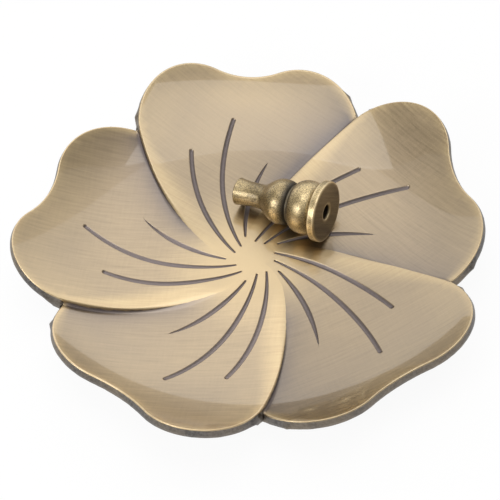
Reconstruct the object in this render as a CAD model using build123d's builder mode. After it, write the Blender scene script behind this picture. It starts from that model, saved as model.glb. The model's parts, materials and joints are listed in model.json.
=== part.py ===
from build123d import *
from math import acos, asin, atan, cos, degrees, radians, sin, tan
import os

# Flower dish: section of the casting, in millimetres and degrees
wall = 2.0
base_height = 1.0
base_radius = 18.0
base_edge = 0.4
floor_top = base_height + wall
floor_radius = 24.0
floor_sweep = 19.0
rim_sphere = 98.0
rim_margin = 3.0
hub_radius = 11.0
hub_rise = 0.3

# Flower dish: one petal in plan, pointing along +Y, with its raised edge on the -X side
petal_count = 5
petal_tilt = 1.8
petal_length = 50.1
high_lobe_angle = 106.3
high_lobe_radius = 13.0
low_lobe_length = 0.954 * petal_length
low_lobe_angle = 72.2
low_lobe_radius = 14.8
notch_radius = 16.0
seam_leave_angle = 194.0
seam_inner_radius = 11.6
seam_inner_angle = 154.5
overlap_angle = 5.0
tuck_angle = -12.0
lip_bevel = 0.35 * wall

# Flower dish: veins of one petal, each through a pointed inner tip, a middle and a rounded outer end,
# which are given as shares of the petal's length and angles
vein_points = [
    ((0.091, 156.8), (0.379, 125.4), (0.632, 113.7)),
    ((0.088, 129.5), (0.418, 107.2), (0.729, 94.9)),
    ((0.125, 105.8), (0.319, 91.4), (0.521, 81.2)),
]
vein_width = 1.1
vein_depth = 0.45

# Stick holder: turned profile, heights measured from the underside of its foot
holder_length = 21.0
bore_radius = 1.6
foot_radius = 6.5
foot_thickness = 1.7
foot_edge = 0.3
crease_radius = 4.8
lower_bulb_radius = 5.8
lower_bulb_height = 0.214 * holder_length
waist_radius = 4.2
ring_radius = 4.5
ring_height = 0.369 * holder_length
ring_width = 0.6
upper_bulb_radius = 4.9
upper_bulb_height = 0.498 * holder_length
shoulder_radius = 2.75
shoulder_height = 0.695 * holder_length
shoulder_round = 0.12 * holder_length
neck_radius = 2.65
neck_height = 0.82 * holder_length
mouth_radius = 2.9
mouth_edge = 0.25
bore_edge = 0.2

# Stick holder: where it lies in the dish, on its foot and its upper bulb
foot_distance = 16.6
foot_angle = 20.1
holder_heading = 151.6
rest_gap = 0.2

# How near an edge lies to the line or circle that it is picked by
pick_distance = 0.01

os.makedirs("parts", exist_ok=True)


def polar(radius, angle):
    """Point in plan at a radius and an angle."""
    return Vector(radius * cos(radians(angle)), radius * sin(radians(angle)))


def plan_angle(vector):
    """Direction of a plan vector, from 0 to 360 degrees."""
    return Vector(1, 0).get_signed_angle(vector, Vector(0, 0, 1)) % 360


# Frame of one petal's blade: the bowl's own axis, leaning about the petal's middle line
blade_frame = Plane((0, 0, floor_top)).rotated((0, petal_tilt, 0))
blade_axis = Axis(blade_frame.origin, blade_frame.z_dir)
section_plane = Plane(blade_frame.origin, x_dir=-blade_frame.y_dir, z_dir=-blade_frame.x_dir)
sweep_angle = degrees(asin(floor_radius / (rim_sphere - floor_sweep)))
rim_angle = degrees(asin((petal_length + rim_margin) / rim_sphere))


def bowl_layer(upper, lower):
    """Bowl between two offsets of the line that runs along the floor and sweeps up to a ball-shaped rim."""
    rim_ends = []
    with BuildPart() as layer:
        with BuildSketch(section_plane):
            with BuildLine():
                for offset in (upper, lower):
                    floor = Line((0, offset), (floor_radius, offset))
                    sweep_up = JernArc(floor @ 1, floor % 1, floor_sweep - offset, sweep_angle)
                    rim = JernArc(sweep_up @ 1, sweep_up % 1, rim_sphere - offset, rim_angle - sweep_angle)
                    rim_ends.append(rim @ 1)
                Line(rim_ends)
                Line((0, upper), (0, lower))
            make_face()
        revolve(axis=blade_axis)
    return layer.part


# The notch between the two lobes is an arc that touches both of them
high_lobe_centre = polar(petal_length - high_lobe_radius, high_lobe_angle)
low_lobe_centre = polar(low_lobe_length - low_lobe_radius, low_lobe_angle)
lobe_step = low_lobe_centre - high_lobe_centre
to_high = high_lobe_radius + notch_radius
to_low = low_lobe_radius + notch_radius
notch_turn = degrees(acos((to_high**2 + lobe_step.length**2 - to_low**2) / (2 * to_high * lobe_step.length)))
notch_centre = high_lobe_centre + polar(to_high, plan_angle(lobe_step) + notch_turn)
high_touch = plan_angle(notch_centre - high_lobe_centre)
low_touch = plan_angle(notch_centre - low_lobe_centre)
notch_start = plan_angle(low_lobe_centre - notch_centre)
notch_end = plan_angle(high_lobe_centre - notch_centre)

# One petal: a leaning bowl cut to the heart-shaped plan, with its lip bevelled
seam_inner = polar(seam_inner_radius, seam_inner_angle)
under_turn = -(360 / petal_count + overlap_angle)
with BuildPart() as petal:
    add(bowl_layer(0, -wall))
    with BuildSketch():
        with BuildLine():
            low_lobe = CenterArc(low_lobe_centre, low_lobe_radius, tuck_angle, low_touch - tuck_angle)
            notch = CenterArc(notch_centre, notch_radius, notch_start, notch_end - notch_start)
            high_lobe = CenterArc(
                high_lobe_centre, high_lobe_radius, high_touch, seam_leave_angle - high_touch
            )
            seam = TangentArc(high_lobe @ 1, seam_inner, tangent=high_lobe % 1)
            under_inner = seam_inner.rotate(Axis.Z, under_turn)
            under_middle = (seam @ 0.5).rotate(Axis.Z, under_turn)
            curl = TangentArc(seam @ 1, (0, 0), tangent=seam % 1)
            Line((0, 0), under_inner)
            ThreePointArc(under_inner, under_middle, low_lobe @ 0)
        make_face()
    extrude(amount=rim_sphere, mode=Mode.INTERSECT)
    rim_lines = [low_lobe, notch, high_lobe, seam, curl]
    top_edges = petal.faces().filter_by(lambda face: face.normal_at().Z > 0.5).edges()
    lip_edges = []
    for edge in top_edges:
        middle = edge @ 0.5
        if min(line.distance_to(Vector(middle.X, middle.Y)) for line in rim_lines) < pick_distance:
            lip_edges.append(edge)
    chamfer(lip_edges, lip_bevel)

# The veins of one petal: tapered grooves that keep their depth under the curved blade
with BuildPart() as veins:
    add(bowl_layer(vein_depth, -vein_depth))
    with BuildSketch():
        for shares in vein_points:
            tip, middle, end = [polar(share * petal_length, angle) for share, angle in shares]
            spine = Edge.make_three_point_arc(tip, middle, end)
            middle_side = (spine % 0.5).rotate(Axis.Z, 90) * vein_width / 2
            end_side = (spine % 1).rotate(Axis.Z, 90) * vein_width / 2
            with BuildLine():
                ThreePointArc(tip, middle + middle_side, end + end_side)
                ThreePointArc(end + end_side, end + (spine % 1) * vein_width / 2, end - end_side)
                ThreePointArc(end - end_side, middle - middle_side, tip)
            make_face()
    extrude(amount=rim_sphere, mode=Mode.INTERSECT)

# The dish: petals all round, a smooth hub over their inner ends and a flat base under the floor
with BuildPart() as flower_dish:
    with PolarLocations(0, petal_count):
        add(petal.part)
    with BuildSketch(Plane.XZ):
        with BuildLine():
            dome = TangentArc((0, floor_top + hub_rise), (hub_radius, floor_top - hub_rise), tangent=(1, 0))
            Polyline(dome @ 1, (0, floor_top - hub_rise), dome @ 0)
        make_face()
    revolve(axis=Axis.Z)
    with BuildSketch():
        Circle(base_radius)
    extrude(amount=floor_top - wall / 2)
    chamfer(flower_dish.faces().sort_by(Axis.Z)[0].edges(), base_edge)
    with PolarLocations(0, petal_count):
        add(veins.part, mode=Mode.SUBTRACT)
flower_dish.part.label = "flower_dish"
export_step(flower_dish.part, "parts/flower_dish.step")

# The holder's resting place: it lies on its foot and its upper bulb, on the leaning petal at the right
right_petal_angle = 90 - 360 / petal_count
right_petal_side = polar(tan(radians(petal_tilt)), right_petal_angle + 90)
foot_place = polar(foot_distance, foot_angle)
heading = polar(1, holder_heading)
petal_climb = degrees(atan(heading.dot(right_petal_side)))
lie_angle = degrees(atan((foot_radius - upper_bulb_radius) / (upper_bulb_height - foot_thickness)))
holder_slope = lie_angle - petal_climb
slope_cos = cos(radians(holder_slope))
slope_sin = sin(radians(holder_slope))
foot_touch = foot_place + heading * (foot_thickness * slope_cos - foot_radius * slope_sin)
touch_height = floor_top + foot_touch.dot(right_petal_side) + rest_gap
foot_height = touch_height + foot_radius * slope_cos + foot_thickness * slope_sin
foot_centre = foot_place + Vector(0, 0, foot_height)
holder_dir = heading * slope_cos - Vector(0, 0, slope_sin)
holder_side = heading.rotate(Axis.Z, 90)
profile_plane = Plane(foot_centre, x_dir=holder_side, z_dir=holder_side.cross(holder_dir))

# The holder: a turned gourd with a flange foot, a ridge in its waist and a hole for the stick
ring_low = ring_height - ring_width / 2
ring_high = ring_height + ring_width / 2
lower_bulb = (lower_bulb_radius, lower_bulb_height)
upper_bulb = (upper_bulb_radius, upper_bulb_height)
with BuildPart() as stick_holder:
    with BuildSketch(profile_plane) as profile:
        with BuildLine():
            Polyline(
                (bore_radius, holder_length),
                (bore_radius, 0),
                (foot_radius, 0),
                (foot_radius, foot_thickness),
                (crease_radius, foot_thickness),
            )
            TangentArc(lower_bulb, (crease_radius, foot_thickness), tangent=(0, -1))
            TangentArc(lower_bulb, (waist_radius, ring_low), tangent=(0, 1))
            Polyline((waist_radius, ring_low), (ring_radius, ring_height), (waist_radius, ring_high))
            TangentArc(upper_bulb, (waist_radius, ring_high), tangent=(0, -1))
            TangentArc(upper_bulb, (shoulder_radius, shoulder_height), tangent=(0, 1))
            ThreePointArc(
                (shoulder_radius, shoulder_height), (neck_radius, neck_height), (mouth_radius, holder_length)
            )
            Line((mouth_radius, holder_length), (bore_radius, holder_length))
        make_face()
        fillet(profile.vertices().sort_by_distance((shoulder_radius, shoulder_height))[0], shoulder_round)
    revolve(axis=Axis(foot_centre, holder_dir))
    edge_sizes = [(foot_radius, foot_edge), (mouth_radius, mouth_edge), (bore_radius, bore_edge)]
    for rim_radius, edge_size in edge_sizes:
        rims = stick_holder.edges().filter_by(GeomType.CIRCLE)
        chamfer(rims.filter_by(lambda edge: abs(edge.radius - rim_radius) < pick_distance), edge_size)
stick_holder.part.label = "stick_holder"
export_step(stick_holder.part, "parts/stick_holder.step")
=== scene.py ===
import json
from math import cos, pi, radians, sin, sqrt, tan

import bmesh
import bpy
import numpy as np
from mathutils import Matrix, Vector
from mathutils.geometry import delaunay_2d_cdt


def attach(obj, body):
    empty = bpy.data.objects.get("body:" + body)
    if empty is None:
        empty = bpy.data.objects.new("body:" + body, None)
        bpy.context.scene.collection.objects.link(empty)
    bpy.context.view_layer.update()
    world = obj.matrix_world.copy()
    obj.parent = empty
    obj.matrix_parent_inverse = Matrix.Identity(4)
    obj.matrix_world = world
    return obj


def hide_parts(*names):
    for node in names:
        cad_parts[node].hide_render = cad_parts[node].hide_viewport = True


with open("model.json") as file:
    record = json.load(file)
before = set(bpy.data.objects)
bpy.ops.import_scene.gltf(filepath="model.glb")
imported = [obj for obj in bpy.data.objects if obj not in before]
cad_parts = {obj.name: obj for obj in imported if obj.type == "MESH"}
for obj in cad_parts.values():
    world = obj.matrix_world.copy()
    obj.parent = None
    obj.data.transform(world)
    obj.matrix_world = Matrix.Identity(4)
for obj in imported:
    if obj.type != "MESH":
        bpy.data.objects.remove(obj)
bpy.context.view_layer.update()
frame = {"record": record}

bl_info = {
    "name": "Incense Flower Dish",
    "version": (1, 0, 0),
    "blender": (4, 5, 0),
    "location": "View3D > Sidebar > Incense",
    "description": "Builds a brushed brass flower dish and its loose gourd holder for an incense stick",
    "category": "Object",
}

MM = 0.001

# Spacing of the points along the dish's lines and in the grids between them
LINE_STEP = 0.75 * MM
BASE_STEP = 1.5 * MM
UPPER_STEP = 1.25 * MM
UNDER_STEP = 3.0 * MM

# Rows of points beside a petal's edges, in millimetres, and beside a vein, in shares of its half width
EDGE_ROWS = (0.06, 0.16, 0.3, 0.5, 0.75, 1.1)
VEIN_ROWS = (0.45, 0.75, 1.0, 1.5)

# Rows of points down the outer wall, as shares of the way from the lip to the underside, and the seed of the
# roughness that casting left on them
WALL_ROWS = (0.2, 0.45, 0.7, 0.9)
WALL_SEED = 5

# Heights on the holder, and how far its shoulder reaches, as shares of its length
LOWER_BULB = 0.214
WAIST_RING = 0.369
UPPER_BULB = 0.498
SHOULDER_REACH = 0.255
NECK = 0.82

# Points round the holder, up its side and across each of its rounded edges
HOLDER_SIDES = 88
HOLDER_ROWS = 150
HOLDER_EDGE = 5

# The camera's sensor in millimetres, and its nearest sight and the floor's reach in metres
SENSOR_WIDTH = 36.0
CLIP_START = 0.01
FLOOR_REACH = 3.0


def bore_mount():
    """The holder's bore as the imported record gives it."""
    for mount in frame["record"]["mounts"]:
        if mount["name"] == "stick_bore":
            return mount
    raise RuntimeError("the packed record has no stick_bore mount")


def number_prop(name, description, default, **extra):
    """A number, with a unit or subtype where one fits."""
    return bpy.props.FloatProperty(name=name, description=description, default=default, **extra)


def length_prop(name, description, millimetres):
    """A size in metres whose default is written in millimetres."""
    return number_prop(name, description, millimetres * MM, unit="LENGTH", precision=5)


def angle_prop(name, description, degrees_default):
    """An angle in radians whose default is written in degrees."""
    return number_prop(name, description, radians(degrees_default), subtype="ANGLE")


def colour_prop(name, description, red, green, blue):
    """A surface colour, scene linear."""
    return bpy.props.FloatVectorProperty(
        name=name, description=description, default=(red, green, blue), size=3, min=0, max=1, subtype="COLOR"
    )


class DishSettings(bpy.types.PropertyGroup):
    """Sizes and colours of the flower dish."""

    wall: length_prop("Wall", "Thickness of the casting", 2.0)
    floor_top: length_prop("Floor", "Height of the floor's upper side", 3.0)
    floor_radius: length_prop("Floor radius", "Where the flat floor starts to sweep up", 18.0)
    rim_curve: length_prop("Rim curve", "Radius of the sweep from the floor to the rim", 52.0)
    base_radius: length_prop("Base radius", "Radius of the flat base under the floor", 18.0)
    base_edge: length_prop("Base edge", "Bevel round the base", 0.4)
    base_wall: length_prop("Base wall", "How far the base's side spreads on its way up", 0.15)
    tuck: angle_prop("Tuck", "How far each petal runs on under its neighbour", 2.0)
    hub_rise: length_prop("Hub rise", "Height of the smooth middle above the floor", 0.25)
    hub_radius: length_prop("Hub radius", "How far the smooth middle reaches", 6.0)
    lean_start: length_prop("Lean start", "Where the petals start to lean", 4.0)
    lean_full: length_prop("Lean full", "Where the petals lean in full", 13.0)
    petal_tilt: angle_prop("Petal lean", "How far each petal leans over its neighbour", 1.8)
    petal_length: length_prop("Petal length", "From the middle of the dish to the high lobe's tip", 49.6)
    high_lobe_angle: angle_prop("High lobe direction", "Direction of the raised lobe", 107.3)
    high_lobe_radius: length_prop("High lobe radius", "Radius of the raised lobe", 13.1)
    low_lobe_length: length_prop("Low lobe length", "From the middle of the dish to the low lobe's tip", 47.4)
    low_lobe_angle: angle_prop("Low lobe direction", "Direction of the low lobe", 72.2)
    low_lobe_radius: length_prop("Low lobe radius", "Radius of the low lobe", 14.45)
    notch_radius: length_prop("Notch radius", "Radius of the notch between the lobes", 25.0)
    seam_leave_angle: angle_prop("Seam start", "Where the seam leaves the high lobe", 193.0)
    seam_inner_radius: length_prop("Seam end", "Distance of the seam's inner end from the middle", 11.63)
    seam_inner_angle: angle_prop("Seam end direction", "Direction of the seam's inner end", 155.2)
    lip_round: length_prop("Lip", "Rounding of the petals' lips", 0.35)
    rim_spread: length_prop("Rim spread", "How far the outer wall spreads below the lip", 0.55)
    rim_drop: length_prop("Rim drop", "How much thicker the casting is at its rim", 0.25)
    seam_lip: length_prop("Seam lip", "Rounding of the raised edge over a seam", 0.4)
    seam_soft: length_prop("Soft seams", "How much wider the seams' rounding is by the middle", 1.4)
    seam_crease: length_prop("Seam crease", "Rounding of the crease under a raised edge", 0.55)
    vein_width: length_prop("Vein width", "Width of the veins", 1.3)
    vein_depth: length_prop("Vein depth", "Depth of the veins", 0.42)
    gold: colour_prop("Worn gold", "Brass that is rubbed bright", 0.59, 0.45, 0.257)
    brass: colour_prop("Brushed brass", "Brass of the open petals", 0.394, 0.304, 0.195)
    # Also painted shade: laid on each petal beside the seam, under the neighbour's raised edge
    patina: colour_prop("Patina", "Grey violet tarnish beside the seams", 0.18, 0.149, 0.134)
    # Also painted shadow: darkens the crease at the foot of each raised edge
    crevice: colour_prop("Crevice", "Dark tarnish in the creases", 0.17, 0.145, 0.145)
    vein: colour_prop("Vein", "Grey tarnish in the veins", 0.275, 0.236, 0.228)
    cast: colour_prop("Cast wall", "Dull metal of the outer wall and the underside", 0.23, 0.214, 0.2)


class HolderSettings(bpy.types.PropertyGroup):
    """Sizes and colours of the stick holder."""

    length: length_prop("Length", "From the foot to the mouth", 21.0)
    bore_radius: length_prop("Bore radius", "Radius of the hole for the stick", 1.6)
    foot_radius: length_prop("Foot radius", "Radius of the flange foot", 6.5)
    foot_thickness: length_prop("Foot thickness", "Thickness of the flange foot", 1.7)
    edge_round: length_prop("Edges", "Rounding of the foot, the mouth and the hole", 0.3)
    lower_bulb_radius: length_prop("Lower bulb radius", "Greatest radius of the lower bulb", 5.8)
    waist_radius: length_prop("Waist radius", "Radius of the waist between the bulbs", 4.0)
    ring_radius: length_prop("Ring radius", "Radius of the ridge in the waist", 4.3)
    upper_bulb_radius: length_prop("Upper bulb radius", "Greatest radius of the upper bulb", 4.9)
    neck_radius: length_prop("Neck radius", "Least radius of the neck", 2.6)
    mouth_radius: length_prop("Mouth radius", "Radius of the mouth", 3.0)
    bronze: colour_prop("Bronze", "Antique metal of the body", 0.45, 0.34, 0.17)
    rubbed: colour_prop("Rubbed bronze", "Metal that handling has brightened", 0.72, 0.56, 0.298)
    # Also the painted shade in the creases, along the neck and down the hole
    soot: colour_prop("Soot", "Dark metal in the pores and creases", 0.045, 0.036, 0.024)
    face: colour_prop("Foot face", "Dark flat face of the foot", 0.33, 0.25, 0.145)
    # Painted highlight on the sharp edges and the waist ring
    polish: colour_prop("Polish", "Bare metal on the sharp edges", 0.8, 0.64, 0.38)


class StageSettings(bpy.types.PropertyGroup):
    """Camera, floor and light."""

    elevation: angle_prop("Elevation", "Camera's height above the horizon", 52.707)
    distance: length_prop("Distance", "From the camera to the middle of the dish", 330.0)
    roll: angle_prop("Roll", "Turn of the camera about its line of sight", 3.268)
    lens: number_prop("Lens", "Focal length for a 36 mm sensor", 112.89, unit="CAMERA")
    shift_right: number_prop("Shift right", "Sideways shift of the picture", -0.00938)
    shift_up: number_prop("Shift up", "Upward shift of the picture", 0.0162)
    floor: colour_prop("Floor", "Colour of the floor", 0.9, 0.9, 0.9)
    surround: colour_prop("Surround", "Dim light from all round", 0.34, 0.33, 0.315)
    top_panel: number_prop("Top panel", "Brightness of the soft panel above", 2.0)
    back_panel: number_prop("Back panel", "Brightness of the tall soft panel behind", 0.75)
    back_wall: number_prop("Back wall", "Brightness of the wide wall behind that panel", 0.4)
    low_panel: number_prop("Low panel", "Brightness of the low panel behind at the left", 1.15)
    front_panel: number_prop("Front panel", "Brightness of the soft panel above the camera", 0.4)
    key: number_prop("Key lamp", "Brightness of the small lamp at the left", 5.5)


# Plan geometry


def polar(radius, angle):
    """Point in plan at a radius and an angle in radians."""
    return np.array([radius * cos(angle), radius * sin(angle)])


def signed_heading(vectors):
    """Direction of plan vectors in radians, from minus half a turn to half a turn."""
    return np.arctan2(vectors[..., 1], vectors[..., 0])


def heading(vectors):
    """Direction of plan vectors in radians, from 0 to a full turn."""
    return signed_heading(vectors) % (2 * pi)


def from_middle(points):
    """Distance of plan points from the middle of the dish, or the length of plan vectors."""
    return np.hypot(points[..., 0], points[..., 1])


def unit(vectors):
    """Vectors at a length of 1."""
    return vectors / np.linalg.norm(vectors, axis=1, keepdims=True)


def left_of(vectors):
    """Plan vectors turned a quarter to the left."""
    return np.stack([-vectors[..., 1], vectors[..., 0]], -1)


def turned(points, angle):
    """Plan points turned about the middle of the dish, by one angle or by one for each point."""
    x, y = points[..., 0], points[..., 1]
    c, s = np.cos(angle), np.sin(angle)
    return np.stack([c * x - s * y, s * x + c * y], -1)


def arc(centre, radius, start, end, step):
    """Points along an arc from one direction to another, about a step apart."""
    count = max(2, int(round(abs(end - start) * radius / step)) + 1)
    angles = np.linspace(start, end, count)
    return centre + radius * np.stack([np.cos(angles), np.sin(angles)], -1)


def tangent_arc(start, direction, end, step):
    """Points along the arc that leaves start in a direction and reaches end."""
    across = left_of(direction)
    chord = end - start
    reach = (chord @ chord) / (2 * (across @ chord))
    centre = start + across * reach
    first = heading(start - centre)
    last = heading(end - centre)
    sweep = (last - first) % (2 * pi) if reach > 0 else -((first - last) % (2 * pi))
    return arc(centre, abs(reach), first, first + sweep, step)


def joined(*lines):
    """Lines end to end, without the points that they share."""
    return np.concatenate([lines[0]] + [line[1:] for line in lines[1:]])


def distance_along(points, line):
    """Distance of each point from a line, and how far along it the nearest place is, from 0 to 1."""
    start, step = line[:-1], np.diff(line, axis=0)
    size = (step**2).sum(-1)
    run = np.concatenate([[0], np.cumsum(np.sqrt(size))])
    best = np.full(len(points), np.inf)
    along = np.zeros(len(points))
    for i in range(len(start)):
        offset = points - start[i]
        t = np.clip((offset @ step[i]) / size[i], 0, 1)
        gap = ((offset - t[:, None] * step[i]) ** 2).sum(-1)
        nearer = gap < best
        best = np.where(nearer, gap, best)
        along = np.where(nearer, run[i] + t * np.sqrt(size[i]), along)
    return np.sqrt(best), along / run[-1]


def distance_from(points, *lines):
    """Distance of each point from the nearest of some lines."""
    return np.min([distance_along(points, line)[0] for line in lines], axis=0)


def nearest_indices(points, places):
    """Which of some points lies nearest to each place."""
    return [int(np.argmin(((points - place) ** 2).sum(1))) for place in places]


def smooth(low, high, value):
    """Smooth step from 0 at low to 1 at high."""
    t = np.clip((value - low) / (high - low), 0, 1)
    return t * t * (3 - 2 * t)


def quarter_round(distance, width, eased=0.0):
    """Share of a drop left at a distance from an edge that is rounded over a width, or eased to a slope."""
    t = np.clip(1 - distance / width, 0, 1)
    return (1 - eased) * (1 - np.sqrt(1 - t * t)) + eased * t * t


def offset_line(line, distance):
    """A line moved sideways, to its left where the distance is positive."""
    return line + distance * left_of(unit(np.gradient(line, axis=0)))


def inside(points, polygon):
    """Which points lie inside a closed polygon."""
    x, y = points[:, 0], points[:, 1]
    result = np.zeros(len(points), bool)
    for (x0, y0), (x1, y1) in zip(polygon, np.roll(polygon, -1, axis=0)):
        crosses = (y0 > y) != (y1 > y)
        if y1 != y0:
            result ^= crosses & (x < (x1 - x0) * (y - y0) / (y1 - y0) + x0)
    return result


def well_inside(points, outline, margin):
    """The points that lie inside a closed outline and further than a margin from it."""
    points = points[inside(points, outline)]
    closed = np.concatenate([outline, outline[:1]])
    return points[distance_from(points, closed) > margin]


def hex_grid(low, high, step):
    """Points of a hexagonal grid over a box in plan."""
    rows = np.arange(low[1], high[1], step * sqrt(3) / 2)
    columns = np.arange(low[0], high[0], step)
    x = columns[None, :] + (np.arange(len(rows)) % 2)[:, None] * step / 2
    y = np.broadcast_to(rows[:, None], x.shape)
    return np.stack([x.ravel(), y.ravel()], -1)


def triangulated(boundary, extra):
    """Plan points and triangles that fill a boundary and use the extra points inside it."""
    points = np.concatenate([boundary, extra]) / MM
    ring = list(range(len(boundary)))
    inside_only, tolerance = 1, 1e-6
    filled = delaunay_2d_cdt([Vector(p) for p in points], [], [ring], inside_only, tolerance)
    plan = np.array([tuple(v) for v in filled[0]]) * MM
    faces = [tuple(face) for face in filled[2]]
    return plan, faces


class Petal:
    """Plan and heights of one petal, which points along +Y with its raised edge on the -X side."""

    count = 5
    turn = 2 * pi / count
    # How bright each petal's colour is compared with the others, from the one at the back on round to the
    # left
    tones = (0.83, 0.98, 1.1, 0.82, 0.8)
    # How far each petal's raised edge was rubbed, and how strong the tarnish with painted shade beside its
    # seam is, compared with the others
    rubbing = (1.15, 1.4, 1.0, 1.0, 1.2)
    tarnish = (1.4, 1.0, 0.95, 0.85, 0.8)
    # Which way each petal was brushed, as the turn of its lines from the petal's own X axis, in degrees
    brush_turns = (-36, -72, 36, -15, 20)
    # Veins through a narrow inner end, a middle and an outer end: shares of the petal's length and angles,
    # then the share of its length in which a vein fades out, or 0 where its end is round
    vein_points = [
        ((0.091, 156.8), (0.379, 125.4), (0.636, 113.5), 0),
        ((0.088, 129.5), (0.418, 107.2), (0.733, 94.7), 0),
        ((0.125, 105.8), (0.319, 91.4), (0.528, 80.9), 0.40),
    ]
    # Width of a vein's inner end, as a share of the full one, and the share of its length in which it widens
    vein_tip = 0.38
    vein_opening = 0.35
    # Shares of its width and depth that a vein loses toward its outer end
    vein_narrowing = 0.1
    vein_shallowing = 0.25
    # Depth of a vein where it is narrowest, and the share of its half width that is flat
    vein_thin_depth = 0.65
    vein_flat = 0.35
    # Distances from the middle between which the seams grow crisp, the rim thickens and the lean eases
    crisp_seams = (16 * MM, 30 * MM)
    thick_rim = (30 * MM, 42 * MM)
    eased_lean = (36 * MM, 50 * MM)
    # Share of the lean that is lost at the rim, and of the sweep's radius that a blade may run out to
    lost_lean = 0.6
    sweep_limit = 0.95
    # Where a seam's edge runs out into the free rim, measured outward from the junction
    free_edge = (-1.5 * MM, 0.5 * MM)
    # Steps along the raised and the low lobe from a junction to the beads beside it
    high_bead = 4
    low_bead = 8
    # Keeps the points of an edge in the petal whose edge it is, in turns of one petal
    edge_slack = 1e-9

    def __init__(self, dish, step):
        self.dish = dish
        high = polar(dish.petal_length - dish.high_lobe_radius, dish.high_lobe_angle)
        low = polar(dish.low_lobe_length - dish.low_lobe_radius, dish.low_lobe_angle)
        lobe_step = low - high
        span = from_middle(lobe_step)
        to_high = dish.high_lobe_radius + dish.notch_radius
        to_low = dish.low_lobe_radius + dish.notch_radius
        notch_turn = np.arccos((to_high**2 + span**2 - to_low**2) / (2 * to_high * span))
        notch = high + polar(to_high, heading(lobe_step) + notch_turn)
        leave = high + polar(dish.high_lobe_radius, dish.seam_leave_angle)
        leave_direction = polar(1, dish.seam_leave_angle + pi / 2)
        seam_inner = polar(dish.seam_inner_radius, dish.seam_inner_angle)
        seam = tangent_arc(leave, leave_direction, seam_inner, step)
        seam_end = seam[-1] - seam[-2]
        curl = tangent_arc(seam_inner, seam_end / from_middle(seam_end), np.zeros(2), step)
        junction = self.junction(high, turned(low, self.turn))
        junction_angle = heading(junction - high)
        next_junction = turned(junction, -self.turn)
        high_side = arc(high, dish.high_lobe_radius, junction_angle, dish.seam_leave_angle, step)
        self.edge = joined(high_side, seam, curl)[::-1]
        high_rim = arc(high, dish.high_lobe_radius, junction_angle, heading(notch - high), step)
        notch_rim = arc(notch, dish.notch_radius, heading(high - notch), heading(low - notch), step)
        low_end = signed_heading(next_junction - low)
        low_rim = arc(low, dish.low_lobe_radius, heading(notch - low), low_end, step)
        self.rim = joined(high_rim, notch_rim, low_rim)
        self.next_edge = turned(self.edge, -self.turn)
        self.edge_radius = from_middle(self.edge)
        self.edge_angle = np.unwrap(signed_heading(self.edge[1:]))
        self.edge_angle = np.concatenate([self.edge_angle[:1], self.edge_angle])
        self.junction_radius = from_middle(junction)
        low_place = low_rim[::-1][self.low_bead]
        self.bead_places = [junction, high_rim[self.high_bead], turned(low_place, self.turn)]
        self.veins = [self.vein(points, step) for points in self.vein_points]

    def junction(self, high, next_low):
        """Where the raised lobe's edge crosses the outline of the petal under it."""
        gap = next_low - high
        span = from_middle(gap)
        r_high, r_low = self.dish.high_lobe_radius, self.dish.low_lobe_radius
        along = (span**2 + r_high**2 - r_low**2) / (2 * span)
        across = sqrt(r_high**2 - along**2)
        toward = gap / span
        side = left_of(toward)
        crossings = [high + toward * along + side * across, high + toward * along - side * across]
        return max(crossings, key=from_middle)

    def vein(self, points, step):
        """Middle line of a vein and the share of its length in which its end closes."""
        tip, middle, end = [polar(share * self.dish.petal_length, radians(a)) for share, a in points[:3]]
        ax, ay = middle - tip
        bx, by = end - tip
        d = 2 * (ax * by - ay * bx)
        a2, b2 = ax * ax + ay * ay, bx * bx + by * by
        centre = tip + np.array([by * a2 - ay * b2, ax * b2 - bx * a2]) / d
        radius = from_middle(tip - centre)
        return arc(centre, radius, heading(tip - centre), heading(end - centre), step), points[3]

    def vein_taper(self, along, closing):
        """Width of a vein along its length, as a share of the full width."""
        opening = self.vein_tip + (1 - self.vein_tip) * np.clip(along / self.vein_opening, 0, 1) ** 0.8
        if not closing:
            return opening * (1 - self.vein_narrowing * smooth(0.6, 1.0, along))
        return np.minimum(opening, np.clip((1 - along) / closing, 0, 1) ** 0.6)

    def placed(self, points):
        """Points turned into the first petal from the one that they lie on."""
        edge_angle = np.interp(from_middle(points), self.edge_radius, self.edge_angle)
        turns = np.floor((edge_angle - signed_heading(points)) / self.turn + self.edge_slack)
        return turned(points, turns * self.turn)

    def sheet(self, local):
        """Height of a petal's plain blade, also past its edges."""
        dish = self.dish
        radius = from_middle(local)
        out = np.clip(radius - dish.floor_radius, 0, dish.rim_curve * self.sweep_limit)
        bowl = dish.rim_curve - np.sqrt(dish.rim_curve**2 - out**2)
        share = smooth(dish.lean_start, dish.lean_full, radius)
        share *= 1 - self.lost_lean * smooth(*self.eased_lean, radius)
        lean = -tan(dish.petal_tilt) * local[:, 0] * share
        hub = dish.hub_rise * np.exp(-((radius / dish.hub_radius) ** 2))
        return dish.floor_top + bowl + lean + hub

    def measures(self, local):
        """Distances of points in a petal from its edges and veins."""
        return {
            "own": distance_from(local, self.edge),
            "other": distance_from(local, self.next_edge),
            "rim": distance_from(local, self.rim),
            "veins": [distance_along(local, line) for line, _ in self.veins],
        }

    def edge_distance(self, local):
        """Distance of points in a petal from the nearest of its edges."""
        return distance_from(local, self.edge, self.next_edge, self.rim)

    def vein_distance(self, local):
        """Distance of points in a petal from the nearest of its veins."""
        return distance_from(local, *[line for line, _ in self.veins])

    def groove(self, measured):
        """Share of the veins' depth at each point."""
        depth = np.zeros_like(measured["own"])
        for (gap, along), (_, closing) in zip(measured["veins"], self.veins):
            taper = self.vein_taper(along, closing)
            half = np.maximum(taper * self.dish.vein_width / 2, 1e-7)
            fade = self.vein_thin_depth + (1 - self.vein_thin_depth) * taper
            fade *= 1 - self.vein_shallowing * smooth(0.85, 1.0, along)
            depth = np.maximum(depth, fade * (1 - smooth(self.vein_flat, 1.0, gap / half)))
        return depth

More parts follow.
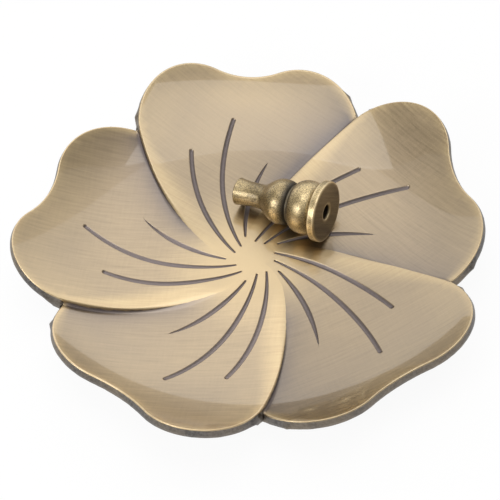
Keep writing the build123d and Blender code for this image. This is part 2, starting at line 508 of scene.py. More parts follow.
    def height(self, points):
        """Height of the dish's upper side."""
        dish = self.dish
        local = self.placed(points)
        measured = self.measures(local)
        blade = self.sheet(local)
        under = self.sheet(turned(local, -self.turn))
        over = self.sheet(turned(local, self.turn))
        radius = from_middle(local)
        free = smooth(*self.free_edge, radius - self.junction_radius)
        eased = 1 - smooth(*self.crisp_seams, radius)
        soft = dish.seam_soft * eased
        seam_drop = np.maximum(blade - under, 0) / 2 * (1 - free) + dish.lip_round * free
        height = blade - seam_drop * quarter_round(measured["own"], dish.seam_lip + soft, eased)
        seam_rise = np.maximum(over - blade, 0) / 2
        height += seam_rise * quarter_round(measured["other"], dish.seam_crease + soft, eased)
        height -= dish.lip_round * quarter_round(measured["rim"], dish.lip_round)
        return height - dish.vein_depth * self.groove(measured)

    def underside(self, points):
        """Height of the dish's lower side, where each petal runs on under its neighbour."""
        dish = self.dish
        local = self.placed(turned(points, dish.tuck))
        radius = from_middle(points)
        thickness = dish.wall + dish.rim_drop * smooth(*self.thick_rim, radius)
        blade = self.sheet(turned(local, -dish.tuck)) - thickness
        base = smooth(dish.base_radius, dish.base_radius + dish.base_wall, radius)
        bevel = np.clip(radius - dish.base_radius + dish.base_edge, 0, dish.base_edge)
        return np.where(base > 0, bevel + (blade - bevel) * base, bevel)


def normals_of(height, points, outward=1):
    """Normals of a height function at points in plan."""
    step = 0.02 * MM
    dx = (height(points + [step, 0]) - height(points - [step, 0])) / (2 * step)
    dy = (height(points + [0, step]) - height(points - [0, step])) / (2 * step)
    return unit(np.stack([-dx, -dy, np.ones(len(points))], -1) * outward)


# Flower dish


def edge_rows(petal, boundary):
    """Plan points in rows beside a petal's edges, close enough to round its lips and creases."""
    rows = []
    clear_share = 0.8
    for gap in EDGE_ROWS:
        reach = gap * MM
        for line, shift in ((petal.edge, -reach), (petal.next_edge, reach), (petal.rim, -reach)):
            row = offset_line(line, shift)
            keep = (petal.edge_distance(row) > clear_share * reach) & inside(row, boundary)
            keep &= from_middle(row) > petal.dish.lean_start
            rows.append(row[keep])
    return np.concatenate(rows)


def vein_rows(petal):
    """Plan points in rows along the veins and round their ends."""
    rows = []
    half_width = petal.dish.vein_width / 2
    least_half = 0.06 * MM
    end_sweep, tip_step, end_step = 1.2, 0.12 * MM, 0.25 * MM
    for line, closing in petal.veins:
        along = np.linspace(0, 1, len(line))
        half = np.maximum(petal.vein_taper(along, closing)[:, None] * half_width, least_half)
        side = offset_line(line, 1.0) - line
        onward, inward = heading(line[-1] - line[-2]), heading(line[0] - line[1])
        rows.append(line)
        for share in VEIN_ROWS:
            rows += [line - share * half * side, line + share * half * side]
            tip_radius, end_radius = share * half[0, 0], share * half_width
            rows.append(arc(line[0], tip_radius, inward - end_sweep, inward + end_sweep, tip_step))
            if not closing:
                rows.append(arc(line[-1], end_radius, onward - end_sweep, onward + end_sweep, end_step))
    return np.concatenate(rows)


def petal_plan(petal):
    """Plan points and triangles of one petal's visible upper side."""
    boundary = np.concatenate([petal.edge[:-1], petal.rim[:-1], petal.next_edge[1:][::-1]])
    reach = petal.dish.petal_length
    row_to_vein, grid_to_vein, grid_to_edge = 0.8 * MM, 1.3 * MM, 1.5 * MM
    rows = edge_rows(petal, boundary)
    rows = rows[petal.vein_distance(rows) > row_to_vein]
    grid = hex_grid((-reach, -reach / 4), (reach, reach), UPPER_STEP)
    grid = grid[inside(grid, boundary)]
    grid = grid[(petal.edge_distance(grid) > grid_to_edge) & (petal.vein_distance(grid) > grid_to_vein)]
    return triangulated(boundary, np.concatenate([rows, vein_rows(petal), grid]))


def underside_plan(petal, outline):
    """Plan points and triangles of the dish's underside."""
    dish = petal.dish
    reach = dish.petal_length
    fold, base_gap = 0.08 * MM, 1.0 * MM
    row_to_rim, grid_to_rim, grid_to_row = 0.5 * MM, 1.5 * MM, 1.2 * MM
    rows = []
    for radius in (dish.base_radius - dish.base_edge, dish.base_radius, dish.base_radius + dish.base_wall):
        rows.append(arc(np.zeros(2), radius, 0, 2 * pi, BASE_STEP)[:-1])
    for k in range(petal.count):
        line = turned(petal.edge[::2], k * petal.turn - dish.tuck)
        line = line[from_middle(line) > dish.base_radius + base_gap]
        rows += [offset_line(line, -fold), offset_line(line, fold)]
    rows = well_inside(np.concatenate(rows), outline, row_to_rim)
    grid = well_inside(hex_grid((-reach, -reach), (reach, reach), UNDER_STEP), outline, grid_to_rim)
    gaps = np.array([((rows - point) ** 2).sum(1).min() for point in grid])
    return triangulated(outline, np.concatenate([rows, grid[gaps > grid_to_row**2]]))


def petal_marks(petal, plan):
    """How worn, tarnished or grooved one petal is at points of its upper side, with the painted shade beside
    its seams and the painted shadow in the creases under the raised edges.
    """
    measured = petal.measures(plan)
    radius = from_middle(plan)
    own, other, rim = measured["own"], measured["other"], measured["rim"]
    reach = 1 - 0.7 * smooth(18 * MM, 44 * MM, radius)
    seam_margin = 1 - smooth(0.4 * MM, 7.5 * MM * reach, own)
    rim_margin = 0.35 * (1 - smooth(1.5 * MM, 11 * MM, rim))
    hub = 1 - smooth(5 * MM, 23 * MM, radius)
    seam_lip = 0.8 * (1 - smooth(0.3 * MM, 1.4 * MM, own))
    rim_lip = 1 - smooth(0.5 * MM, 1.6 * MM, rim)
    # Violet grey tarnish with painted shade, on the low petal beside the neighbour's raised edge
    shade_reach = 3.4 * MM + 2.6 * MM * smooth(20 * MM, 40 * MM, radius)
    # Painted shadow, with tarnish, in the crease at the foot of the neighbour's raised edge
    wide = smooth(28 * MM, 42 * MM, radius) * MM
    crease = 1 - smooth(0.1 * MM + 0.4 * wide, 0.5 * MM + 0.5 * wide, other)
    return {
        "margin": np.maximum.reduce([seam_margin, hub, rim_margin]),
        "lip": np.maximum(rim_lip, seam_lip),
        "shade": np.exp(-other / shade_reach) * smooth(8 * MM, 20 * MM, radius),
        "crease": crease * smooth(18 * MM, 36 * MM, radius),
        "groove": petal.groove(measured),
        "brushed": smooth(5 * MM, 18 * MM, radius),
    }


def dish_marks(petal, plan):
    """The marks of all petals, with what sets each of them apart outside the hub."""
    marks = {name: np.tile(values, petal.count) for name, values in petal_marks(petal, plan).items()}
    hub_tone, brush_gain = 0.92, 0.08
    marks["tone"] = hub_tone + brush_gain * marks["brushed"]
    for name, shares in (("tone", petal.tones), ("margin", petal.rubbing), ("shade", petal.tarnish)):
        marks[name] *= 1 + (np.repeat(shares, len(plan)) - 1) * marks["brushed"]
    marks["brush_turn"] = np.repeat(np.radians(petal.brush_turns), len(plan))
    return marks


def write_marks(mesh, marks):
    """Writes values on a mesh's points, and 0 on those after the last value."""
    for name, values in marks.items():
        padded = np.zeros(len(mesh.vertices), np.float32)
        padded[: len(values)] = values
        mesh.attributes.new(name, "FLOAT", "POINT").data.foreach_set("value", padded)


def wall_rows(petal, lip, low, outward):
    """Points and normals of the rows of the outer wall, with the beads that casting left by the junctions."""
    bead_height, bead_reach, grain = 0.45 * MM, 0.9 * MM, 0.012 * MM
    spread_arch, first_upturn, upturn_loss = 0.75 * pi, 0.25, 0.5
    bead = np.zeros(len(lip))
    for k in range(petal.count):
        for place in petal.bead_places:
            gap = np.linalg.norm(lip[:, :2] - turned(place, k * petal.turn), axis=1)
            bead = np.maximum(bead, bead_height * np.exp(-((gap / bead_reach) ** 2)))
    generator = np.random.default_rng(WALL_SEED)
    rows = []
    for share in WALL_ROWS:
        bulge = bead * sin(pi * share) + generator.normal(0, grain, len(lip))
        bulge += petal.dish.rim_spread * sin(spread_arch * share)
        level = lip[:, 2] * (1 - share) + low * share
        points = np.column_stack([lip[:, :2] + outward * bulge[:, None], level])
        upturn = np.full(len(lip), first_upturn - upturn_loss * share)
        rows.append((points, unit(np.column_stack([outward, upturn]))))
    return rows


def upper_side(petal, plan, petal_faces):
    """Points, normals and faces of all petals' upper sides, and the points round their rim in order."""
    height = petal.height(plan)
    slopes = normals_of(petal.height, plan)
    rim = nearest_indices(plan, petal.rim[:0:-1])
    points, normals, faces, ring = [], [], [], []
    for k in range(petal.count):
        points.append(np.column_stack([turned(plan, k * petal.turn), height]))
        normals.append(np.column_stack([turned(slopes[:, :2], k * petal.turn), slopes[:, 2]]))
        faces += [tuple(k * len(plan) + i for i in face) for face in petal_faces]
        ring += [k * len(plan) + i for i in rim]
    return np.concatenate(points), np.concatenate(normals), faces, ring


def dish_mesh(dish):
    """The dish as one closed mesh: upper side, outer wall and underside."""
    petal = Petal(dish, LINE_STEP)
    plan, petal_faces = petal_plan(petal)
    points, normals, faces, ring = upper_side(petal, plan, petal_faces)
    top_faces, around = len(faces), len(ring)
    lip = points[ring]
    outline = lip[:, :2]
    outward = unit(-left_of(np.roll(outline, -1, axis=0) - np.roll(outline, 1, axis=0)))
    lip_upturn = 0.35
    normals[ring] = unit(np.column_stack([outward, np.full(around, lip_upturn)]))
    wall = wall_rows(petal, lip, petal.underside(outline), outward)
    under, under_faces = underside_plan(petal, outline)
    under_points = np.column_stack([under, petal.underside(under)])
    under_normals = normals_of(petal.underside, under, -1)
    wall_start = len(points)
    under_start = wall_start + len(wall) * around
    loops = [ring]
    for start in range(wall_start, under_start, around):
        loops.append(list(range(start, start + around)))
    loops.append([under_start + i for i in nearest_indices(under, outline)])
    for upper, lower in zip(loops[:-1], loops[1:]):
        for i in range(around):
            faces.append((upper[i], upper[i - 1], lower[i - 1], lower[i]))
    faces += [tuple(under_start + i for i in face[::-1]) for face in under_faces]
    all_points = np.concatenate([points, *[row for row, _ in wall], under_points])
    all_normals = np.concatenate([normals, *[row for _, row in wall], under_normals])
    mesh = bpy.data.meshes.new("flower_dish_brass")
    mesh.from_pydata(all_points.tolist(), [], faces)
    write_marks(mesh, dish_marks(petal, plan))
    lay_petal_plan(mesh, petal, len(plan))
    slots = np.where(np.arange(len(faces)) < top_faces, 0, 1)
    mesh.polygons.foreach_set("material_index", slots.astype(np.int32))
    mesh.polygons.foreach_set("use_smooth", np.ones(len(faces), bool))
    weld(mesh, all_normals)
    return mesh


def lay_petal_plan(mesh, petal, point_count):
    """Lays each petal's own plan on its upper side as a UV map, in decimetres and apart from the others."""
    per_metre, apart = 10, 3.7
    places = np.zeros(len(mesh.vertices) * 3)
    mesh.vertices.foreach_get("co", places)
    corners = np.zeros(len(mesh.loops), np.int32)
    mesh.loops.foreach_get("vertex_index", corners)
    turns = np.minimum(corners // point_count, petal.count)
    local = turned(places.reshape(-1, 3)[corners, :2], -turns * petal.turn)
    layer = mesh.uv_layers.new(name="petal_plan")
    layer.data.foreach_set("uv", (local * per_metre + turns[:, None] * apart).astype(np.float32).ravel())


def weld(mesh, normals):
    """Joins the points that petals share and keeps the normals worked out for them."""
    same_place = 1e-6
    layer = mesh.attributes.new("shape_normal", "FLOAT_VECTOR", "POINT")
    layer.data.foreach_set("vector", normals.astype(np.float32).ravel())
    body = bmesh.new()
    body.from_mesh(mesh)
    bmesh.ops.remove_doubles(body, verts=body.verts, dist=same_place)
    body.to_mesh(mesh)
    body.free()
    kept = np.zeros(len(mesh.vertices) * 3, np.float32)
    mesh.attributes["shape_normal"].data.foreach_get("vector", kept)
    mesh.normals_split_custom_set_from_vertices(kept.reshape(-1, 3).tolist())
    mesh.attributes.remove(mesh.attributes["shape_normal"])


# Stick holder


def swell(heights, middle, radius, below, above):
    """Radii of a bulb about its middle, from the reach, the end radius and the fullness on either side."""
    reach, core, fullness = np.where(heights[:, None] < middle, below, above).T
    return core + (radius - core) * np.clip(1 - ((heights - middle) / reach) ** 2, 0, 1) ** fullness


def blended(width, *forms):
    """Greatest of several forms, with a soft change from one to the next."""
    return width * np.log(sum(np.exp(form / width) for form in forms))


def rounded_edge(radius, height, size, start):
    """Quarter round of an edge, from one direction to the next."""
    angles = start + np.linspace(0, pi / 2, HOLDER_EDGE)
    return list(zip(radius + size * np.cos(angles), height + size * np.sin(angles)))


def holder_profile(holder):
    """Radii and heights of the holder's outer line, from the foot's hole round to the mouth's hole."""
    length, bore, foot, thick = holder.length, holder.bore_radius, holder.foot_radius, holder.foot_thickness
    waist, slim, flare = holder.waist_radius, holder.neck_radius, holder.mouth_radius - holder.neck_radius
    edge = holder.edge_round
    lower, ring, upper, neck = [share * length for share in (LOWER_BULB, WAIST_RING, UPPER_BULB, NECK)]
    ring_reach, ring_clear, foot_gap, shoulder_sink = 0.2 * MM, 1.5 * MM, 0.05 * MM, 1.1 * MM
    waist_blend, neck_blend = 0.09 * MM, 0.4 * MM
    ball, drawn_out = 0.5, 1.4
    inset = 2.5 * edge
    heights = np.linspace(thick, length - edge, HOLDER_ROWS)
    foot_crease = (lower - thick - foot_gap, waist, ball)
    low_waist = (ring - ring_reach - lower, waist, ball)
    high_waist = (upper - ring - ring_reach, waist, ball)
    shoulder = (SHOULDER_REACH * length, slim - shoulder_sink, drawn_out)
    hollow = (ring_reach, waist - ring_reach, ball)
    low_form = swell(heights, lower, holder.lower_bulb_radius, foot_crease, low_waist)
    high_form = swell(heights, upper, holder.upper_bulb_radius, high_waist, shoulder)
    ring_form = swell(heights, ring, holder.ring_radius, hollow, hollow)
    neck_form = slim + flare * (np.maximum(heights - neck, 0) / (length - neck)) ** 2
    low_form[heights > ring] = 0
    high_form[heights < ring] = 0
    ring_form[np.abs(heights - ring) > ring_clear] = 0
    radii = blended(waist_blend, low_form, high_form, ring_form)
    radii = np.where(heights < upper, radii, blended(neck_blend, high_form, neck_form))
    line = [(bore, 2 * edge)] + rounded_edge(bore + edge, edge, edge, pi)
    line += [(bore + inset, 0), (foot - inset, 0)]
    line += rounded_edge(foot - edge, edge, edge, -pi / 2)
    line += [(foot, 2 * edge), (foot, thick - 2 * edge)]
    line += rounded_edge(foot - edge, thick - edge, edge, 0)
    line += list(zip(radii, heights))
    line += rounded_edge(holder.mouth_radius - edge, length - edge, edge, 0)[1:]
    return line + rounded_edge(bore + edge, length - edge, edge, pi / 2)


def nearest_place(radius, height, places):
    """Distance of a profile's points from the nearest of some places on it."""
    return np.min([np.hypot(radius - r, height - h) for r, h in places], axis=0)


def holder_marks(holder, line):
    """How dark or bright the holder is painted along its outer line: soot with painted shade in its hollows,
    along its neck and down its hole, and painted highlights on its sharp edges and its ring.
    """
    waist, foot, thick = holder.waist_radius, holder.foot_radius, holder.foot_thickness
    edge = holder.edge_round
    ring = WAIST_RING * holder.length
    beside_ring, ring_width, bore_slack = 0.35 * MM, 0.15 * MM, 0.05 * MM
    soot_and_shade_reach, highlight_reach = (0.3 * MM, 2.1 * MM), (0.8 * edge, 1.4 * edge)
    neck_start, neck_full, band_height, band_reach = 0.62, 0.72, 0.76, 0.07
    radius, height = np.array(line).T
    # Soot with painted shade in the hollows by the foot and beside the ring, and down the hole
    hollows = [(waist, thick), (waist, ring - beside_ring), (waist, ring + beside_ring)]
    near_hollow = nearest_place(radius, height, hollows)
    near_edge = nearest_place(radius, height, [(foot, 0), (foot, thick), (holder.bore_radius, 0)])
    bore = radius < holder.bore_radius + bore_slack
    share = height / holder.length
    # Painted shade along the neck and in a band at its corner with the shoulder
    neck = 0.12 * smooth(neck_start, neck_full, share)
    neck += 0.3 * np.exp(-(((share - band_height) / band_reach) ** 2))
    # crease: soot with painted shade; edge and ring: painted highlights on the sharp edges and the waist ring
    return {
        "crease": np.maximum.reduce([1 - smooth(*soot_and_shade_reach, near_hollow), neck, bore]),
        "edge": 1 - smooth(*highlight_reach, near_edge),
        "foot_face": (height < 0.5 * edge) & (radius < foot - 0.5 * edge),
        "ring": np.exp(-(((height - ring) / ring_width) ** 2)) * (height > thick),
    }


def holder_mesh(holder):
    """The holder as a turned mesh along its own Z axis, with its hole."""
    line = holder_profile(holder)
    turns = np.linspace(0, 2 * pi, HOLDER_SIDES, endpoint=False)
    points, faces = [], []
    for row, (radius, height) in enumerate(line):
        level = np.full(HOLDER_SIDES, height)
        points.append(np.column_stack([radius * np.cos(turns), radius * np.sin(turns), level]))
        start, after = row * HOLDER_SIDES, (row + 1) % len(line) * HOLDER_SIDES
        for i in range(HOLDER_SIDES):
            j = (i + 1) % HOLDER_SIDES
            faces.append((start + i, start + j, after + j, after + i))
    mesh = bpy.data.meshes.new("stick_holder_bronze")
    mesh.from_pydata(np.concatenate(points).tolist(), [], faces)
    marks = holder_marks(holder, line)
    write_marks(mesh, {name: np.repeat(values, HOLDER_SIDES) for name, values in marks.items()})
    mesh.polygons.foreach_set("use_smooth", np.ones(len(faces), bool))
    return mesh


# Shader nodes


def feed(tree, value, socket):
    """Links an input to an output, or sets it to a number or a colour."""
    if isinstance(value, bpy.types.NodeSocket):
        tree.links.new(value, socket)
    elif isinstance(value, (int, float)):
        socket.default_value = value
    else:
        socket.default_value = (*value, 1)


def feed_all(tree, target, values):
    """Feeds a node's inputs by name or by number."""
    for name, value in values.items():
        feed(tree, value, target.inputs[name])


def node(tree, kind, values=None, **settings):
    """A new node with its properties set and its inputs fed."""
    made = tree.nodes.new(kind)
    for name, value in settings.items():
        setattr(made, name, value)
    feed_all(tree, made, values or {})
    return made


def math_node(tree, operation, first, second, clamp=False):
    """A Math node whose inputs are sockets or numbers, as an output."""
    made = node(tree, "ShaderNodeMath", {0: first, 1: second}, operation=operation, use_clamp=clamp)
    return made.outputs[0]


def times(tree, value, factor):
    """A value times a factor, as an output."""
    return math_node(tree, "MULTIPLY", value, factor)


def plus(tree, base, value, factor, clamp=False):
    """A base with a value times a factor added to it, as an output."""
    return math_node(tree, "ADD", base, times(tree, value, factor), clamp)


def mix_colour(tree, share, first, second, blend="MIX"):
    """A colour mix whose inputs are sockets or plain colours, as an output."""
    values = {0: share, 6: first, 7: second}
    return node(tree, "ShaderNodeMix", values, data_type="RGBA", blend_type=blend).outputs[2]


def layered(tree, colour, *layers):
    """A colour with others laid over it in turn, each by its share, as an output."""
    for share, tint in layers:
        colour = mix_colour(tree, share, colour, tint)
    return colour


def grey_colour(tree, value):
    """A grey of a value, as a colour output."""
    return node(tree, "ShaderNodeCombineColor", {0: value, 1: value, 2: value}).outputs[0]


def ramp(tree, value, low, high):
    """A value mapped from a range to 0 to 1, with soft ends, as an output."""
    values = {"Value": value, "From Min": low, "From Max": high}
    return node(tree, "ShaderNodeMapRange", values, interpolation_type="SMOOTHSTEP").outputs["Result"]


def mark(tree, name):
    """A value written on the mesh's points, as an output."""
    return node(tree, "ShaderNodeAttribute", attribute_name=name).outputs["Fac"]


def noise(tree, vector, scale, detail, roughness):
    """A noise value over a vector, as an output."""
    values = {"Vector": vector, "Scale": scale, "Detail": detail, "Roughness": roughness}
    return node(tree, "ShaderNodeTexNoise", values).outputs["Fac"]


def bumped(tree, height, strength, distance):
    """A bump over a height value, as a normal output."""
    values = {"Height": height, "Strength": strength, "Distance": distance}
    return node(tree, "ShaderNodeBump", values).outputs[0]


def new_group(name, values, results):
    """An empty shader node group over a vector, with its values in and out, and its two end nodes."""
    group = bpy.data.node_groups.new(name, "ShaderNodeTree")
    group.interface.new_socket("Vector", in_out="INPUT", socket_type="NodeSocketVector")
    for socket, default in values.items():
        made = group.interface.new_socket(socket, in_out="INPUT", socket_type="NodeSocketFloat")
        made.default_value = default
    for socket in results:
        group.interface.new_socket(socket, in_out="OUTPUT", socket_type="NodeSocketFloat")
    return group, group.nodes.new("NodeGroupInput"), group.nodes.new("NodeGroupOutput")


def brush_lines():
    """Fine straight scratches in two crossing directions."""
    values = {"Angle": 0.3, "Crossing": 0.5, "Fineness": 90.0}
    group, start, end = new_group("brush_lines", values, ["Lines", "Streaks"])
    given = start.outputs
    layers = []
    for crossing, stretch, weight in ((0.0, 0.06, 0.75), (-1.0, 0.09, 0.25)):
        angle = math_node(group, "SUBTRACT", times(group, given["Crossing"], crossing), given["Angle"])
        spun = {"Vector": given["Vector"], "Angle": angle}
        spin = node(group, "ShaderNodeVectorRotate", spun, rotation_type="Z_AXIS")
        scale = node(group, "ShaderNodeVectorMath", {0: spin.outputs[0]}, operation="MULTIPLY")
        scale.inputs[1].default_value = (stretch, 1.0, 1.0)
        lines = noise(group, scale.outputs[0], given["Fineness"], 4.0, 0.65)
        layers.append(times(group, lines, weight))
    both = math_node(group, "ADD", *layers)
    feed_all(group, end, {"Lines": both, "Streaks": ramp(group, both, 0.35, 0.7)})
    return group


def tarnish_clouds():
    """Cloudy tarnish: large soft clouds and small mottling."""
    group, start, end = new_group("tarnish_clouds", {"Size": 40.0}, ["Clouds", "Mottle"])
    vector, size = start.outputs["Vector"], start.outputs["Size"]
    large = noise(group, vector, size, 2.0, 0.55)
    fine = noise(group, vector, times(group, size, 14.0), 3.0, 0.6)
    feed_all(group, end, {"Clouds": ramp(group, large, 0.3, 0.7), "Mottle": ramp(group, fine, 0.36, 0.64)})
    return group


def placed_group(tree, make, **values):
    """The outputs of a group that is built at its first use, with its inputs fed."""
    group = bpy.data.node_groups.get(make.__name__) or make()
    return node(tree, "ShaderNodeGroup", values, node_tree=group).outputs


def new_material(name, kind):
    """A material with a node tree of one shader and its output."""
    material = bpy.data.materials.new(name)
    material.use_nodes = True
    tree = material.node_tree
    tree.nodes.clear()
    shader = node(tree, kind)
    node(tree, "ShaderNodeOutputMaterial", {"Surface": shader.outputs[0]})
    return material, tree, shader


def petal_brass(dish):
    """Brushed and lacquered brass of the petals: gold where it is rubbed, violet grey tarnish with painted
    shade beside the seams, and painted shadow in the creases under the raised edges.
    """
    material, tree, shader = new_material("petal_brass", "ShaderNodeBsdfPrincipled")
    plan = node(tree, "ShaderNodeUVMap", uv_map="petal_plan").outputs[0]
    across = node(tree, "ShaderNodeTangent", direction_type="UV_MAP", uv_map="petal_plan").outputs[0]
    turn = mark(tree, "brush_turn")
    lines = placed_group(tree, brush_lines, Vector=plan, Angle=turn, Crossing=1.4, Fineness=190.0)
    clouds = placed_group(tree, tarnish_clouds, Vector=plan, Size=5.0)
    drift = math_node(tree, "SUBTRACT", clouds["Clouds"], 0.5)
    crease = mark(tree, "crease")
    groove = ramp(tree, mark(tree, "groove"), 0.06, 0.55)
    colour = layered(
        tree,
        dish.brass,
        (plus(tree, mark(tree, "margin"), drift, 0.2, True), dish.gold),
        # Violet grey tarnish with painted shade beside the seams
        (plus(tree, mark(tree, "shade"), drift, 0.25, True), dish.patina),
        (mark(tree, "lip"), dish.gold),
        # Painted shadow with tarnish in the creases under the raised edges
        (times(tree, crease, 0.8), dish.crevice),
        (groove, dish.vein),
    )
    streak = plus(tree, 0.5, math_node(tree, "SUBTRACT", lines["Lines"], 0.5), 0.9)
    brushed = mark(tree, "brushed")
    colour = mix_colour(tree, times(tree, brushed, 0.48), colour, grey_colour(tree, streak), "OVERLAY")
    colour = mix_colour(tree, 1.0, colour, grey_colour(tree, mark(tree, "tone")), "MULTIPLY")
    dull = math_node(tree, "MAXIMUM", crease, groove)
    finish = {
        "Base Color": colour,
        "Metallic": 1.0,
        "Roughness": plus(tree, plus(tree, 0.34, lines["Streaks"], 0.1), dull, 0.25),
        "Normal": bumped(tree, lines["Lines"], 0.16, 0.08 * MM),
        "Tangent": across,
        "Anisotropic": times(tree, brushed, 0.6),
        "Coat Weight": math_node(tree, "SUBTRACT", 1.0, dull, True),
        "Coat Roughness": 0.04,
        "Coat IOR": 1.52,
    }
    feed_all(tree, shader, finish)
    return material


def cast_brass(dish):
    """Dull cast metal of the outer wall and the underside."""
    material, tree, shader = new_material("cast_brass", "ShaderNodeBsdfPrincipled")
    place = node(tree, "ShaderNodeTexCoord").outputs["Object"]
    clouds = placed_group(tree, tarnish_clouds, Vector=place, Size=120.0)
    mottle = clouds["Mottle"]
    dark_cast = [part * 0.5 for part in dish.cast]
    glint = times(tree, clouds["Clouds"], 0.35)
    finish = {
        "Base Color": layered(tree, dark_cast, (mottle, dish.cast), (glint, dish.brass)),
        "Metallic": 1.0,
        "Roughness": plus(tree, 0.36, mottle, 0.2),
        "Normal": bumped(tree, mottle, 0.35, 0.15 * MM),
    }
    feed_all(tree, shader, finish)
    return material


def holder_bronze(holder):
    """Dark antique metal of the holder, speckled, rubbed bright on its bulbs, sooty with painted shade in its
    creases, along its neck and down its hole, and with painted highlights on its sharp edges and its ring.
    """
    material, tree, shader = new_material("holder_bronze", "ShaderNodeBsdfPrincipled")
    place = node(tree, "ShaderNodeTexCoord").outputs["Object"]
    clouds = placed_group(tree, tarnish_clouds, Vector=place, Size=150.0)
    speckle = placed_group(tree, tarnish_clouds, Vector=place, Size=370.0)
    lines = placed_group(tree, brush_lines, Vector=place, Angle=0.8, Crossing=0.0, Fineness=1400.0)
    pores = times(tree, math_node(tree, "SUBTRACT", 1.0, speckle["Mottle"]), 0.75)
    crease = mark(tree, "crease")
    grain = ramp(tree, lines["Lines"], 0.35, 0.65)
    dark_face = [part * 0.7 for part in holder.face]
    # Painted highlights on the sharp edges and the waist ring
    bright = math_node(tree, "MAXIMUM", mark(tree, "edge"), times(tree, mark(tree, "ring"), 0.35))
    colour = layered(
        tree,
        holder.bronze,
        (clouds["Clouds"], holder.rubbed),
        (pores, holder.soot),
        # Soot with painted shade in the creases, along the neck and down the hole
        (crease, holder.soot),
        (mark(tree, "foot_face"), mix_colour(tree, grain, dark_face, holder.face)),
        (times(tree, bright, 0.7), holder.polish),
    )
    finish = {
        "Base Color": colour,
        "Metallic": 1.0,
        "Roughness": plus(tree, plus(tree, 0.3, pores, 0.2), crease, 0.3),
        "Normal": bumped(tree, speckle["Mottle"], 0.15, 0.03 * MM),
        "Coat Weight": 0.5,
        "Coat Roughness": 0.22,
    }
    feed_all(tree, shader, finish)
    return material


def floor_white(stage):
    """Pale floor that the camera and reflections see as nearly white, with the object's soft shadow."""
    material, tree, blend = new_material("floor_white", "ShaderNodeMixShader")
    matt = node(tree, "ShaderNodeBsdfDiffuse", {"Color": stage.floor})
    glow = node(tree, "ShaderNodeEmission")
    path = node(tree, "ShaderNodeLightPath").outputs
    seen = math_node(tree, "MAXIMUM", path["Is Camera Ray"], path["Is Glossy Ray"])
    seen = math_node(tree, "MAXIMUM", seen, path["Is Transmission Ray"])
    feed_all(tree, blend, {0: times(tree, seen, 0.93), 1: matt.outputs[0], 2: glow.outputs[0]})
    return material


# Operators


def new_piece(name, mesh, materials):
    """A mesh object in the scene with its materials."""
    piece = bpy.data.objects.new(name, mesh)
    bpy.context.scene.collection.objects.link(piece)
    for material in materials:
        mesh.materials.append(material)
    return piece


class INCENSE_OT_flower_dish(bpy.types.Operator):
    """Builds the brushed brass flower dish in place of its CAD solid"""

    bl_idname = "incense.flower_dish"
    bl_label = "Build Flower Dish"

    def execute(self, context):
        dish = context.scene.incense_dish
        piece = new_piece("flower_dish_brass", dish_mesh(dish), [petal_brass(dish), cast_brass(dish)])
        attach(piece, "dish")
        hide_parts("flower_dish")
        return {"FINISHED"}


class INCENSE_OT_stick_holder(bpy.types.Operator):
    """Builds the gourd holder in place of its CAD solid"""

    bl_idname = "incense.stick_holder"
    bl_label = "Build Stick Holder"

    def execute(self, context):
        holder = context.scene.incense_holder
        piece = new_piece("stick_holder_bronze", holder_mesh(holder), [holder_bronze(holder)])
        mount = bore_mount()
        axis = Vector(mount["axis"]).normalized()
        foot = Vector(mount["pos_m"]) - axis * holder.length / 2
        piece.matrix_world = Matrix.Translation(foot) @ axis.to_track_quat("Z", "Y").to_matrix().to_4x4()
        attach(piece, "holder")
        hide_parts("stick_holder")
        return {"FINISHED"}


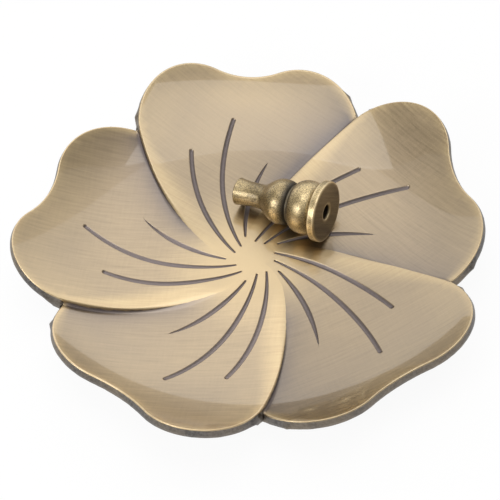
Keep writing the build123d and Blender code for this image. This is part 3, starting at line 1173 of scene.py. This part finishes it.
class INCENSE_OT_stage(bpy.types.Operator):
    """Sets up the camera, the pale floor and the soft studio light"""

    bl_idname = "incense.stage"
    bl_label = "Set Up Stage"

    def execute(self, context):
        stage = context.scene.incense_stage
        self.camera(context, stage)
        self.floor(stage)
        self.light(context, stage)
        context.scene.view_settings.view_transform = "Standard"
        return {"FINISHED"}

    def camera(self, context, stage):
        """Places the camera at the photograph's angle."""
        data = bpy.data.cameras.new("camera")
        data.sensor_width = SENSOR_WIDTH
        data.lens = stage.lens
        data.shift_x = stage.shift_right
        data.shift_y = stage.shift_up
        data.clip_start = CLIP_START
        camera = bpy.data.objects.new("camera", data)
        context.scene.collection.objects.link(camera)
        rise, out = sin(stage.elevation), cos(stage.elevation)
        back = Vector((0, -out, rise))
        up = Vector((0, rise, out))
        right = Vector((1, 0, 0))
        c, s = cos(stage.roll), sin(stage.roll)
        turned_right = c * right - s * up
        turned_up = c * up + s * right
        middle = Vector((0, 0, context.scene.incense_dish.floor_top))
        pose = Matrix((turned_right, turned_up, back)).transposed().to_4x4()
        camera.matrix_world = Matrix.Translation(middle + back * stage.distance) @ pose
        context.scene.camera = camera

    def floor(self, stage):
        """Lays the floor that the dish stands on."""
        mesh = bpy.data.meshes.new("floor")
        corners = [(FLOOR_REACH * x, FLOOR_REACH * y, 0) for x, y in ((-1, -1), (1, -1), (1, 1), (-1, 1))]
        mesh.from_pydata(corners, [], [(0, 1, 2, 3)])
        floor = new_piece("floor", mesh, [floor_white(stage)])

    def light(self, context, stage):
        """Sets the dim surround, the soft panels round the dish and the small key lamp at the left."""
        world = bpy.data.worlds.new("studio")
        world.use_nodes = True
        world.node_tree.nodes["Background"].inputs["Color"].default_value = (*stage.surround, 1)
        context.scene.world = world
        above, behind, left = (0, 0, 1), (0, 1, 0), (-0.58, -0.42, 0.42)
        for name, brightness, place, away, width, height in (
            ("top_panel", stage.top_panel, (0.0, 0.03, 0.8), above, 0.7, 0.47),
            ("back_panel", stage.back_panel, (-0.05, 0.8, 1.41), behind, 1.7, 2.48),
            ("back_wall", stage.back_wall, (0.0, 0.83, 1.44), behind, 4.2, 2.54),
            ("low_panel", stage.low_panel, (-0.66, 0.8, 0.085), behind, 0.6, 0.168),
            ("front_panel", stage.front_panel, (0.0, -0.46, 0.8), above, 0.9, 0.5),
            ("key_lamp", stage.key, left, left, 0.42, 0.42),
        ):
            self.lamp(context, name, brightness, place, away, width, height)

    def lamp(self, context, name, brightness, place, away, width, height):
        """An area lamp of an even brightness that faces against a direction."""
        data = bpy.data.lights.new(name, "AREA")
        data.shape = "RECTANGLE"
        data.size, data.size_y = width, height
        data.energy = pi * width * height * brightness
        lamp = bpy.data.objects.new(name, data)
        context.scene.collection.objects.link(lamp)
        lamp.location = place
        lamp.rotation_mode = "QUATERNION"
        lamp.rotation_quaternion = Vector(away).to_track_quat("Z", "Y")


class INCENSE_PT_panel(bpy.types.Panel):
    """Lists the steps that build the set"""

    bl_idname = "INCENSE_PT_panel"
    bl_label = "Incense Flower Dish"
    bl_space_type = "VIEW_3D"
    bl_region_type = "UI"
    bl_category = "Incense"

    def draw(self, context):
        for operator in (INCENSE_OT_flower_dish, INCENSE_OT_stick_holder, INCENSE_OT_stage):
            self.layout.operator(operator.bl_idname)
        for group in (context.scene.incense_dish, context.scene.incense_holder, context.scene.incense_stage):
            box = self.layout.box()
            for name in group.__annotations__:
                box.prop(group, name)


CLASSES = (
    DishSettings,
    HolderSettings,
    StageSettings,
    INCENSE_OT_flower_dish,
    INCENSE_OT_stick_holder,
    INCENSE_OT_stage,
    INCENSE_PT_panel,
)


def register():
    for item in CLASSES:
        bpy.utils.register_class(item)
    bpy.types.Scene.incense_dish = bpy.props.PointerProperty(type=DishSettings)
    bpy.types.Scene.incense_holder = bpy.props.PointerProperty(type=HolderSettings)
    bpy.types.Scene.incense_stage = bpy.props.PointerProperty(type=StageSettings)


def unregister():
    del bpy.types.Scene.incense_stage
    del bpy.types.Scene.incense_holder
    del bpy.types.Scene.incense_dish
    for item in reversed(CLASSES):
        bpy.utils.unregister_class(item)


def main():
    register()
    bpy.ops.incense.flower_dish()
    bpy.ops.incense.stick_holder()
    bpy.ops.incense.stage()
    bpy.context.view_layer.update()


if __name__ == "__main__":
    main()
